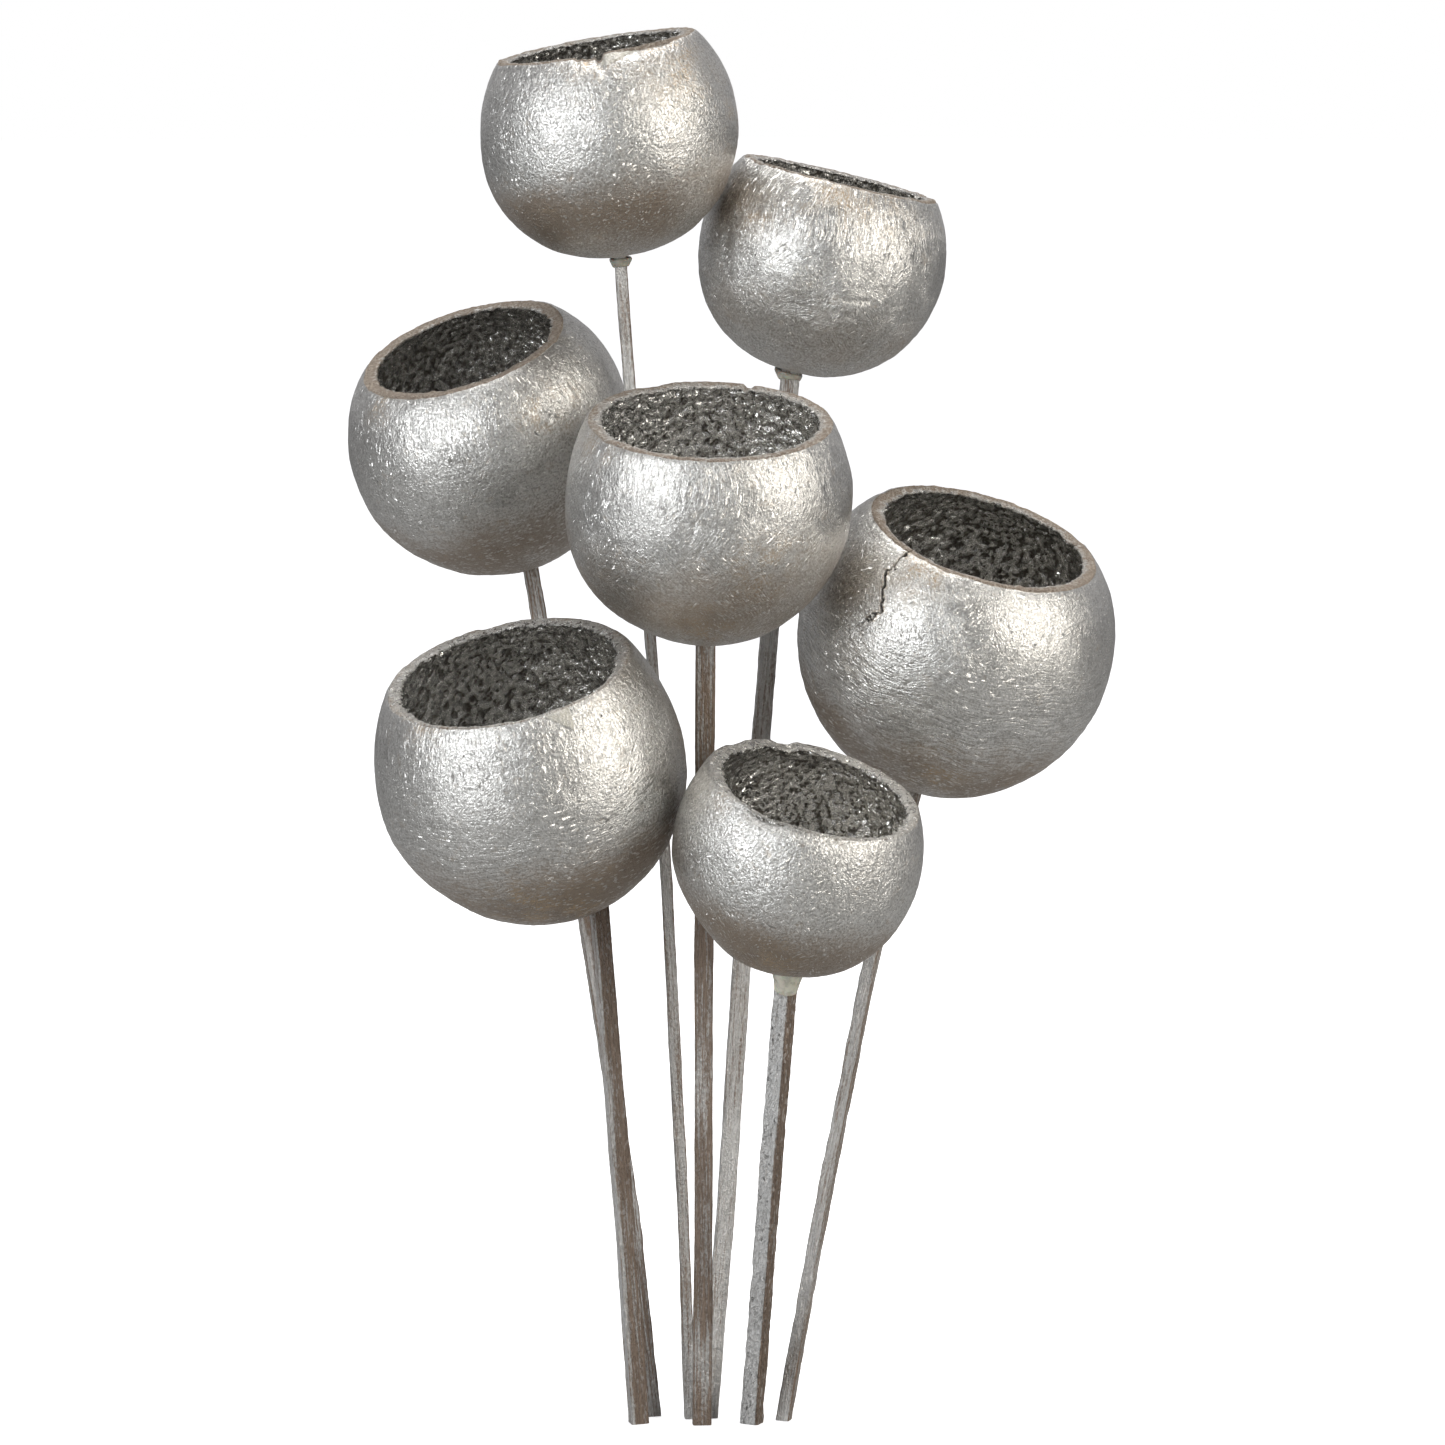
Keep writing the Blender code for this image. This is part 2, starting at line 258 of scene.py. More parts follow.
class Form:
    """A pod's own axes, and its outside and inside as distances from its middle."""

    def __init__(self, node):
        faces = triangles(node)
        cross = np.cross(faces[:, 1] - faces[:, 0], faces[:, 2] - faces[:, 0])
        area = np.linalg.norm(cross, axis=-1) / 2
        faces, cross, area = faces[area > 1e-6], cross[area > 1e-6], area[area > 1e-6]
        facing = unit(cross)
        _, group = np.unique(np.round(facing, 2), axis=0, return_inverse=True)
        largest = np.argmax(np.bincount(group.ravel(), weights=area))
        edge = group.ravel() == largest
        up = unit((facing[edge] * area[edge, None]).sum(0))
        middle = np.average(faces[edge].mean(1), axis=0, weights=area[edge])
        depth = ((middle - faces.reshape(-1, 3)) @ up).max()
        right = unit(np.array((1.0, 0, 0)) - up * up[0])
        self.axes = np.stack([right, np.cross(up, right), up])
        self.mouth = depth / 2
        self.centre = middle - up * self.mouth
        local = (faces - self.centre) @ self.axes.T
        outward = (facing @ self.axes.T * unit(local.mean(1))).sum(-1)
        self.outside = smooth_radius(local[(outward > 0.6) & ~edge].reshape(-1, 3))
        self.inside = smooth_radius(local[(outward < -0.6) & ~edge].reshape(-1, 3))

    def rim(self, azimuth, surface):
        """Distance from the axis to where a surface meets the mouth, at each azimuth."""
        across = np.full(azimuth.shape, self.mouth)
        for _ in range(30):
            level = np.full(azimuth.shape, self.mouth)
            point = np.stack([across * np.cos(azimuth), across * np.sin(azimuth), level], -1)
            reach = surface(unit(point))
            across = np.sqrt(np.maximum(reach**2 - self.mouth**2, 1.0))
        return across

    def bowl(self, azimuth, surface, shares):
        """Rows of points on a surface: shares run from 0 at its base to 1 at the mouth."""
        across = self.rim(azimuth, surface)
        tilt = np.arctan2(across, -self.mouth) * shares[:, None]
        turn = np.broadcast_to(azimuth, tilt.shape)
        way = np.stack([np.sin(tilt) * np.cos(turn), np.sin(tilt) * np.sin(turn), -np.cos(tilt)], -1)
        return way * surface(way)[..., None]

    def world(self, local):
        return local @ self.axes + self.centre


# --- a pod's surface ---


def strands(azimuth, climb, radius, twist, width, length, seed):
    """Long narrow ridges that run up the pod, or slanted by twist (mm round per mm up)."""
    turn = azimuth + climb * twist / radius
    points = np.stack([
        radius * np.cos(turn) / width, radius * np.sin(turn) / width, climb / length,
    ], -1)
    return noise(points, 1.0, seed)


def husk_relief(look, local, world, azimuth, climb, radius):
    """Height of the outside's fibres and lumps above the smooth form, in mm."""
    seed = look["seed"]
    lumps = 0.34 * noise(world, 17, seed) + 0.16 * noise(world, 7, seed + 1)
    upright = strands(azimuth, climb, radius, 0.12, 1.15, 11, seed + 2)
    slanted = strands(azimuth, climb, radius, 0.9, 1.2, 5, seed + 3)
    counter = strands(azimuth, climb, radius, -0.8, 1.2, 5, seed + 4)
    flat = local * np.array((1 / 9, 1 / 9, 1 / 1.15))
    around = noise(flat, 1.0, seed + 5)
    patch = noise(world, 9, seed + 6)
    high = rise(local[..., 2], -0.2 * radius, 0.5 * radius)
    fibre = upright * look["upright"] * high * 0.9
    fibre = fibre + around * look["around"] * (1.4 - 1.1 * high)
    fibre = fibre + slanted * rise(patch, -0.2, 0.5) * 0.6
    fibre = fibre + counter * rise(-patch, -0.2, 0.5) * 0.6
    return lumps + 0.085 * fibre + 0.05 * noise(world, 0.95, seed + 7)


def lining_relief(look, world, depth):
    """Height of the pebbled inside above the smooth form, and how high each spot stands."""
    seed = look["seed"]
    bent = world + 0.5 * np.stack([noise(world, 2.2, seed + axis) for axis in (20, 21, 22)], -1)
    coarse = 1 - rise(grains(bent, 1.55, seed + 30), 0.22, 0.8)
    fine = 1 - rise(grains(world, 0.95, seed + 40), 0.22, 0.8)
    peak = 0.65 * coarse + 0.35 * fine
    height = look["grain"] * (0.72 * coarse + 0.25 * fine - 0.48)
    height = height + 0.4 * noise(world, 6, seed + 50)
    return height * rise(depth, -0.2, 1.2), peak + look["lining"]


def mouth_drop(look, azimuth_deg):
    """How far the sawn edge sits below the flat mouth, in mm, where it is chipped or torn."""
    drop = np.zeros_like(azimuth_deg)
    for towards, half_width, depth in look["chips"]:
        drop = np.maximum(drop, depth * near_azimuth(azimuth_deg, towards, half_width, 0.25))
    return drop


def press_in(look, local, azimuth_deg, depth):
    """How far the outside is pushed in at its flatter spots, dents and bevelled edge, in mm."""
    pressed = np.zeros_like(depth)
    across_axis = np.hypot(local[..., 0], local[..., 1])
    for towards, level, size, amount in look["flats"] + look["dents"]:
        across = np.radians(turn_apart(azimuth_deg, towards)) * across_axis
        pressed += amount * np.exp(-((np.hypot(across, depth - level) / size) ** 2))
    towards, half_width, amount = look["bevel"]
    along_edge = near_azimuth(azimuth_deg, towards, half_width, 0.4)
    return pressed + amount * along_edge * (1 - rise(depth, 0, 3.2))


def patches(look, azimuth_deg, depth, radius, world):
    """Strength from 0 to 1 of the tan, worn-through patches."""
    strength = np.zeros_like(depth)
    for towards, level, size in look["tan"]:
        across = np.radians(turn_apart(azimuth_deg, towards)) * radius
        away = np.hypot(across, (depth - level) * 1.4) / size
        strength = np.maximum(strength, np.exp(-(away**2)))
    return np.clip(strength * (0.6 + 0.9 * noise(world, 3.0, look["seed"] + 60)), 0, 1)


def rolled_out(azimuth_deg, radius, path):
    """Points' distances round the pod from a path's start, and the path's corners, in mm."""
    around = np.radians((azimuth_deg - path[0][0] + 180) % 360 - 180) * radius
    return around, [(math.radians(a - path[0][0]) * radius, d) for a, d in path]


def line_distance(azimuth_deg, y, radius, path, closed=False):
    """Distance in mm, over the pod's surface, from points at depths y to a broken line."""
    x, ends = rolled_out(azimuth_deg, radius, path)
    nearest = np.full(x.shape, 99.0)
    for (ax, ay), (bx, by) in zip(ends, ends[1:] + ends[:1] if closed else ends[1:]):
        length = max((bx - ax) ** 2 + (by - ay) ** 2, 1e-9)
        share = np.clip(((x - ax) * (bx - ax) + (y - ay) * (by - ay)) / length, 0, 1)
        nearest = np.minimum(nearest, np.hypot(x - ax - share * (bx - ax), y - ay - share * (by - ay)))
    return nearest


def inside_outline(azimuth_deg, y, radius, path):
    """True where a point at depth y lies inside a closed outline on the pod's surface."""
    x, ends = rolled_out(azimuth_deg, radius, path)
    inside = np.zeros(x.shape, bool)
    for (ax, ay), (bx, by) in zip(ends, ends[1:] + ends[:1]):
        crosses = (ay > y) != (by > y)
        inside ^= crosses & (x < (bx - ax) * (y - ay) / (by - ay + 1e-12) + ax)
    return inside


def grid_faces(rows, sides):
    """Quads between rows of a closed grid, and their UV corners from 0 to 1."""
    row, side = np.meshgrid(np.arange(rows - 1), np.arange(sides), indexing="ij")
    after = (side + 1) % sides
    quads = np.stack([
        row * sides + side, row * sides + after, (row + 1) * sides + after, (row + 1) * sides + side,
    ], -1).reshape(-1, 4)
    u = np.stack([side, side + 1, side + 1, side], -1).reshape(-1, 4) / sides
    v = np.stack([row, row, row + 1, row + 1], -1).reshape(-1, 4) / (rows - 1)
    return quads, np.stack([u, v], -1)


def closed_surface(name, rows, first_cap, last_cap):
    """A closed mesh through rows of points in mm, with its ends gathered to one point each."""
    count, sides = rows.shape[:2]
    quads, uvs = grid_faces(count, sides)
    points = np.concatenate([rows.reshape(-1, 3), [first_cap], [last_cap]]) * MM
    side = np.arange(sides)
    after = (side + 1) % sides
    first = np.stack([np.full(sides, count * sides), after, side], -1)
    last_row = (count - 1) * sides
    last = np.stack([np.full(sides, count * sides + 1), last_row + side, last_row + after], -1)
    mesh = bpy.data.meshes.new(name)
    mesh.from_pydata(points.tolist(), [], quads.tolist() + first.tolist() + last.tolist())
    corners = np.zeros((len(quads) * 4 + sides * 6, 2))
    corners[: len(quads) * 4] = uvs.reshape(-1, 2)
    middle = (side + 0.5) / sides
    start, end, zero, one = side / sides, (side + 1) / sides, np.zeros(sides), np.ones(sides)
    low = np.stack([middle, zero, end, zero, start, zero], -1)
    high = np.stack([middle, one, start, one, end, one], -1)
    corners[len(quads) * 4:] = np.concatenate([low, high]).reshape(-1, 2)
    layer = mesh.uv_layers.new(name="OFBake")
    layer.data.foreach_set("uv", (corners * 0.998 + 0.001).ravel())
    mesh.shade_smooth()
    return mesh


def write_attribute(mesh, name, values, field="value"):
    values = np.asarray(values, dtype=np.float32).ravel()
    mesh.attributes[name].data.foreach_set(field, values)


def add_attribute(mesh, name, values, kind="FLOAT"):
    """Stores one number or vector for each point of a mesh, for the materials to read."""
    mesh.attributes.new(name, kind, "POINT")
    write_attribute(mesh, name, values, "vector" if kind == "FLOAT_VECTOR" else "value")


def with_caps(values):
    """Point values of the rows, with the two end points taking their row's first value."""
    flat = values.reshape(-1, *values.shape[2:])
    return np.concatenate([flat, values[0, :1], values[-1, :1]])


def pod_rows(form):
    """Rows of local points up the outside, over the sawn edge and down the inside."""
    azimuth = np.linspace(0, 2 * math.pi, SIDES, endpoint=False)
    outer = form.bowl(azimuth, form.outside, np.linspace(0, 1, OUTER_ROWS + 1)[1:])
    shares = 1 - np.linspace(0, 1, INNER_ROWS + 1)[:-1] ** 1.25
    inner = form.bowl(azimuth, form.inside, shares)
    across = np.linspace(0, 1, EDGE_ROWS + 2)[1:-1, None, None]
    edge = outer[-1] * (1 - across) + inner[0] * across
    outer[-1, :, 2] -= 0.35
    inner[0, :, 2] -= 0.3
    return np.concatenate([outer, edge, inner]), np.degrees(azimuth)


def wear_edge(look, moved, world, turn_deg, depth, inward):
    """Makes the sawn edge a little wavy, nibbled along its inner side, chipped and thinned."""
    seed = look["seed"]
    radial = unit(moved * np.array((1, 1, 0)))
    rough = 0.16 * noise(world, 2.6, seed + 70) + 0.13 * noise(world, 1.0, seed + 71)
    near_mouth = 1 - rise(depth, 0, 1.6)
    nibbled = (1.1 * grains(world, 1.5, seed + 72) - 0.55) * inward**2 * near_mouth
    nibbled = nibbled * (1.7 - look["bare"])
    moved += radial * nibbled[..., None]
    moved[..., 2] += (rough - 0.35 * inward**3) * near_mouth
    moved[..., 2] -= mouth_drop(look, turn_deg[0]) * (1 - rise(depth, 0, 5.0))
    towards, half_width, amount = look["thin"]
    thinned = amount * near_azimuth(turn_deg, towards, half_width, 0.5)
    moved += radial * (thinned * inward * (1 - rise(depth, 0.5, 7.0)))[..., None]


def add_strands(mesh, look, turn, climb, radius, world):
    """Stores coordinates in mm round and up the pod, straight and slanted both ways."""
    swirls = [noise(world, 9, look["seed"] + axis) for axis in (100, 101, 102)]
    swirl = 2.4 * np.stack(swirls, -1)
    for strand, twist in (("strand", 0.0), ("strand_left", 0.8), ("strand_right", -0.9)):
        around = turn + climb * twist / radius
        points = np.stack([radius * np.cos(around), radius * np.sin(around), climb], -1)
        add_attribute(mesh, strand, with_caps(points + swirl), "FLOAT_VECTOR")


def set_zones(mesh, row_count):
    """Gives each face the material of its zone: 0 outside, 1 on the edge and 2 inside."""
    zone = np.zeros(row_count - 1, dtype=np.int32)
    zone[OUTER_ROWS - 1: OUTER_ROWS + EDGE_ROWS] = 1
    zone[OUTER_ROWS + EDGE_ROWS:] = 2
    caps = np.repeat(np.array((0, 2), np.int32), SIDES)
    mesh.polygons.foreach_set("material_index", np.concatenate([np.repeat(zone, SIDES), caps]))


def make_pod(name, look, materials):
    form = Form("pod_" + name)
    local, degrees = pod_rows(form)
    row = np.arange(len(local))
    outside = row < OUTER_ROWS
    within = row >= OUTER_ROWS + EDGE_ROWS
    world = form.world(local)
    turn_deg = np.broadcast_to(degrees, local.shape[:2])
    turn = np.radians(turn_deg)
    depth = form.mouth - local[..., 2]
    radius = float(np.hypot(local[..., 0], local[..., 1]).max())
    step = np.linalg.norm(np.diff(local[:, 0], axis=0, prepend=local[:1, 0]), axis=-1)
    climb = np.broadcast_to(np.cumsum(step)[:, None], local.shape[:2])

    relief = husk_relief(look, local, world, turn, climb, radius)
    relief = relief - press_in(look, local, turn_deg, depth)
    for line in look.get("creases", ()):
        relief -= 0.22 * (1 - rise(line_distance(turn_deg, depth, radius, line), 0.1, 0.75))
    pebbles, peak = lining_relief(look, world, depth)
    push = np.where(outside[:, None], relief, 0) - np.where(within[:, None], pebbles, 0)
    moved = local + unit(local) * push[..., None]
    inward = np.interp(row, (OUTER_ROWS - 1, OUTER_ROWS + EDGE_ROWS), (0, 1))[:, None]
    wear_edge(look, moved, world, turn_deg, depth, inward)

    ends = form.world(moved[0].mean(0)), form.world(moved[-1].mean(0))
    mesh = closed_surface("pod_" + name, form.world(moved), *ends)
    deep = np.clip(depth / (2 * form.mouth), 0, 1)
    # Browner towards the bottom: partly real wear, and partly painted shade under the pod and a painted
    # reflection of a warm floor, eased off at the very bottom where that painted reflection is lighter.
    wear_and_shade = look["brown"] * rise(deep, look["brown_from"], look["brown_from"] + 0.36)
    wear_and_shade = wear_and_shade * (0.95 + 0.45 * noise(world, 13, look["seed"] + 90))
    wear_and_shade = wear_and_shade * (1 - 0.35 * rise(deep, 0.74, 0.95))
    add_strands(mesh, look, turn, climb, radius, world)
    tan = patches(look, turn_deg, depth, radius * 0.9, world)
    everywhere = np.ones(local.shape[:2])
    values = {"wear_and_shade": wear_and_shade, "tan": tan, "peak": peak, "deep": deep, "inward": inward * everywhere}
    for key in ("upright", "around", "bare", "sandy"):
        values[key] = look[key] * everywhere
    values["crack"] = values["peel"] = 0 * everywhere
    for key, value in values.items():
        add_attribute(mesh, key, with_caps(value))
    for material in materials:
        mesh.materials.append(material)
    set_zones(mesh, len(local))
    mesh.update()
    if "crack" in look:
        cut_crack(mesh, form, look["crack"], radius)
    if "peel" in look:
        lift_peel(mesh, form, look["peel"], radius)
    return add_object("silver_pod_" + name, mesh)


# --- a crack and a peeled flake, cut into a finer patch of the pod ---

FINE_CUTS = 3  # each face of the patch is cut this many times each way


def read_attribute(mesh, name):
    values = np.empty(len(mesh.vertices))
    mesh.attributes[name].data.foreach_get("value", values)
    return values


def on_pod(mesh, form):
    """A mesh's points on its pod: local places, azimuths, depths, and 0 outside to 1 inside."""
    local = (read_points(mesh) - form.centre) @ form.axes.T
    azimuth = np.degrees(np.arctan2(local[:, 1], local[:, 0]))
    return local, azimuth, form.mouth - local[:, 2], read_attribute(mesh, "inward")


def refine(mesh, near):
    """Splits the faces whose points are all near into smaller ones."""
    bm = bmesh.new()
    bm.from_mesh(mesh)
    faces = [face for face in bm.faces if all(near[vert.index] for vert in face.verts)]
    edges = list({edge for face in faces for edge in face.edges})
    bmesh.ops.subdivide_edges(bm, edges=edges, cuts=FINE_CUTS, use_grid_fill=True)
    bm.to_mesh(mesh)
    bm.free()


def cut_crack(mesh, form, path, radius):
    """Opens a thin jagged crack with raised lips from the mouth down the outside, and marks its opening,
    which the materials paint near black as painted shade.
    """
    _, azimuth, depth, inward = on_pod(mesh, form)
    near = line_distance(azimuth, depth, radius * 0.92, path) < 1.7
    refine(mesh, near & (inward < 0.99))
    local, azimuth, depth, inward = on_pod(mesh, form)
    world = read_points(mesh)
    jag = 0.75 * noise(world, 1.6, 80) + 0.55 * noise(world, 0.7, 81)
    away = line_distance(azimuth + np.degrees(jag / radius), depth + 0.6 * jag, radius * 0.92, path)
    thin = np.interp(depth, (0, 12, 15, 20), (0.16, 0.12, 0.06, 0.03))
    open_here = (1 - rise(away, thin * 0.5, thin + 0.14)) * (inward < 0.97)
    lip = np.exp(-(((away - thin - 0.35) / 0.28) ** 2)) * (inward < 0.97) * (depth < 16)
    local += unit(local) * (0.12 * lip - 0.95 * open_here * (inward < 0.05))[:, None]
    local[:, 2] -= 0.8 * open_here * (inward >= 0.05)
    write_points(mesh, form.world(local))
    write_attribute(mesh, "crack", open_here)
    write_attribute(mesh, "tan", np.maximum(read_attribute(mesh, "tan"), 0.8 * lip))
    mesh.update()


def lift_peel(mesh, form, path, radius):
    """Raises a three-cornered flake of pale skin just under the mouth."""
    _, azimuth, depth, inward = on_pod(mesh, form)
    near = line_distance(azimuth, depth, radius * 0.78, path, closed=True) < 1.4
    refine(mesh, near & (inward < 0.05))
    local, azimuth, depth, inward = on_pod(mesh, form)
    flake = inside_outline(azimuth, depth, radius * 0.78, path) & (inward < 0.3)
    rim = line_distance(azimuth, depth, radius * 0.78, path, closed=True)
    flake = flake * rise(rim, 0.0, 0.3)
    local += unit(local) * (0.22 * flake)[:, None]
    write_points(mesh, form.world(local))
    write_attribute(mesh, "peel", flake)
    mesh.update()


# --- the sticks ---

STICK_STEP = 0.55  # spacing of the rows up a stick
STICK_SIDE_POINTS = 9  # points on each of a stick's four sides
# brown: how far the paint has worn off. rough: how coarse the wood is, and above 1 how much the
# paint is painted brighter, as a painted reflection of the left lamp. metal: how much the paint
# shines. side: the (azimuth, extra brown) of one face, partly real bare wood and partly painted
# shade that sets the face apart from its neighbour, and less brown where negative.
STICK_LOOKS = {
    "top": dict(brown=0.25, rough=0.9, metal=0.5, side=(5, 0.5)),
    "upper_right": dict(brown=0.12, rough=0.9, metal=0.5, side=(-84, 0.1)),
    "left": dict(brown=0.45, rough=0.5, metal=0.72, side=(15, 0.3)),
    "centre": dict(brown=0.62, rough=0.6, metal=0.67, side=(3, 0.1)),
    "right": dict(brown=0.15, rough=0.9, metal=0.5, side=(-22, 0.35)),
    "lower_left": dict(brown=0.8, rough=1.0, metal=0.45, side=(200, -0.5)),
    "lower_right": dict(brown=0.0, rough=1.6, metal=0.35, side=(-27, 0.9)),
}


def slice_at(faces, level):
    """Ends of the lines where a plane at a level cuts the triangles."""
    above = faces[..., 2] > level
    cut = faces[above.any(1) & ~above.all(1)]
    ends = []
    for a, b in ((0, 1), (1, 2), (2, 0)):
        start, end = cut[:, a], cut[:, b]
        crosses = (start[:, 2] > level) != (end[:, 2] > level)
        rise_by = np.where(crosses, end[:, 2] - start[:, 2], 1.0)
        point = start + (end - start) * ((level - start[:, 2]) / rise_by)[:, None]
        ends.append(point[crosses, :2])
    return np.concatenate(ends)


def stick_section(faces, level):
    """Middle, turn and two half widths of a stick's cut at a level."""
    points = slice_at(faces, level)
    best = None
    for turn in np.radians(np.arange(-45, 45, 1.0)):
        way = np.array((math.cos(turn), math.sin(turn)))
        along = points @ way
        across = points @ np.array((-way[1], way[0]))
        size = (np.ptp(along), np.ptp(across))
        if best is None or size[0] * size[1] < best[0]:
            middle = way * (along.max() + along.min()) / 2
            middle = middle + np.array((-way[1], way[0])) * (across.max() + across.min()) / 2
            best = (size[0] * size[1], middle, turn, size[0] / 2, size[1] / 2)
    return best[1:]


def ring_shape(half_width, half_depth, corner):
    """Points round a rectangle with rounded corners, and how near each is to a corner."""
    points, near = [], []
    for side in range(4):
        wide, deep = (half_width, half_depth) if side % 2 == 0 else (half_depth, half_width)
        for step in range(STICK_SIDE_POINTS):
            share = step / STICK_SIDE_POINTS * 2 - 1
            x, y = share * wide, -deep
            pinch = max(0.0, abs(x) - (wide - corner)) / corner
            y += corner * (1 - math.sqrt(max(0.0, 1 - (0.85 * pinch) ** 2)))
            cos, sin = math.cos(side * math.pi / 2), math.sin(side * math.pi / 2)
            points.append((x * cos - y * sin, x * sin + y * cos))
            near.append(pinch)
    return np.array(points), np.array(near)


def make_stick(name, look, material):
    faces = triangles("stick_" + name)
    low, high = faces[..., 2].min(), faces[..., 2].max()
    _, turn, half_width, half_depth = stick_section(faces, low + 20)
    levels = np.linspace(low, high, int((high - low) / STICK_STEP))
    inner = np.clip(levels, low + 0.6, high - 0.6)
    knots = np.linspace(low + 0.6, high - 0.6, 24)
    middles = np.array([stick_section(faces, level)[0] for level in knots])
    path = np.stack([np.interp(inner, knots, middles[:, axis]) for axis in (0, 1)], -1)
    kernel = np.hanning(25) / np.hanning(25).sum()
    for axis in (0, 1):
        padded = np.pad(path[:, axis], 12, mode="reflect", reflect_type="odd")
        path[:, axis] = np.convolve(padded, kernel, mode="valid")
    ring, near_corner = ring_shape(half_width, half_depth, 0.42)
    spin = np.array(((math.cos(turn), math.sin(turn)), (-math.sin(turn), math.cos(turn))))
    ring = ring @ spin
    heights = np.broadcast_to(levels[:, None, None], (len(levels), len(ring), 1))
    rows = np.concatenate([path[:, None, :] + ring[None], heights], -1)
    outward = unit(np.concatenate([ring, np.zeros((len(ring), 1))], -1))[None]
    seed = 200 + sorted(STICK_LOOKS).index(name) * 7
    long = rows * np.array((1, 1, 1 / 14))
    medium = rows * np.array((1, 1, 1 / 5))
    relief = 0.10 * noise(long, 0.9, seed) + 0.07 * noise(medium, 0.7, seed + 1)
    relief += 0.05 * look["rough"] * noise(rows, 0.8, seed + 2) + 0.12 * noise(rows, 22, seed + 3)
    relief -= 0.22 * near_corner * rise(noise(rows, 3.2, seed + 4), 0.0, 0.7)
    rows = rows + outward * relief[..., None]
    foot = np.append(rows[0].mean(0)[:2], low)
    rows[0, :, 2] = low
    end = np.append(rows[-1].mean(0)[:2], high - 0.1)
    mesh = closed_surface("stick_" + name, rows, foot, end)
    flat = np.concatenate([np.broadcast_to(ring[None], rows[..., :2].shape), rows[..., 2:]], -1)
    grain = flat + np.array((0, 0, 37.0 * seed))
    add_attribute(mesh, "strand", with_caps(grain), "FLOAT_VECTOR")
    # One face gets extra brown: partly real bare wood, partly painted shade that sets it apart from the
    # next face.
    towards, extra = look["side"]
    facing = np.degrees(np.arctan2(outward[0, :, 1], outward[0, :, 0]))
    sides = np.degrees(turn) + 90 * np.round((facing - np.degrees(turn)) / 90)
    on_side = (turn_apart(sides, towards) < 45) * 1.0
    brown = look["brown"] + 0.22 * noise(rows, 16, seed + 5) + 0.15 * near_corner
    add_attribute(mesh, "wear_and_shade", with_caps(brown + extra * on_side))
    for attribute, value in (("sparkle", look["rough"]), ("metal", look["metal"])):
        add_attribute(mesh, attribute, with_caps(value * np.ones(rows.shape[:2])))
    mesh.set_sharp_from_angle(angle=math.radians(50))
    mesh.materials.append(material)
    return add_object("silver_stick_" + name, mesh)


# --- the glue ---

GLUE_VOXEL = 0.22
GLUE_GROWTH = 0.22  # closes the frame's clearances, as real glue wets what it touches
GLUE_HUG = 0.72  # a collar's lower end is drawn in to this share, against the stick
GLUE_DARKENING = {  # how dark a collar turns at its lower and upper end
    "top": (0.4, 0.7), "upper_right": (0.1, 1.0), "left": (0.4, 0.8), "centre": (0.5, 0.9),
    "right": (0.6, 1.0), "lower_left": (0.5, 0.9), "lower_right": (0.0, 0.0),
}


def make_glue(name, material):
    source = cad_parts["glue_" + name]
    glue = add_object("glue_bead_" + name, source.data.copy())
    glue.data.materials.clear()
    bm = bmesh.new()
    bm.from_mesh(glue.data)
    bmesh.ops.remove_doubles(bm, verts=bm.verts, dist=0.00001)
    bm.to_mesh(glue.data)
    bm.free()
    remesh = glue.modifiers.new("fine", "REMESH")
    remesh.mode = "VOXEL"
    remesh.voxel_size = GLUE_VOXEL * MM
    soften = glue.modifiers.new("soften", "SMOOTH")
    soften.iterations = 6
    graph = bpy.context.evaluated_depsgraph_get()
    mesh = bpy.data.meshes.new_from_object(glue.evaluated_get(graph), depsgraph=graph)
    glue.modifiers.clear()
    glue.data = mesh
    points = read_points(mesh)
    facing = read_vectors(mesh.vertex_normals, "vector")
    low, high = points[:, 2].min(), points[:, 2].max()
    upper = rise(points[:, 2], low, high)
    stick = triangles("stick_" + name)
    ends = [stick_section(stick, level)[0] for level in (low, high)]
    share = ((points[:, 2] - low) / (high - low))[:, None]
    axis = ends[0] * (1 - share) + ends[1] * share
    points[:, :2] = axis + (points[:, :2] - axis) * (GLUE_HUG + (1 - GLUE_HUG) * upper)[:, None]
    lumps = GLUE_GROWTH + 0.15 * noise(points, 2.4, 301) + 0.06 * noise(points, 1.0, 302)
    write_points(mesh, points + facing * lumps[:, None])
    # How much darker the collar turns from its lower to its upper end.
    lower_darkening, upper_darkening = GLUE_DARKENING[name]
    add_attribute(mesh, "darkening", lower_darkening + (upper_darkening - lower_darkening) * upper**2)
    mesh.shade_smooth()
    mesh.materials.append(material)
    mesh.update()
    return glue


# --- materials ---


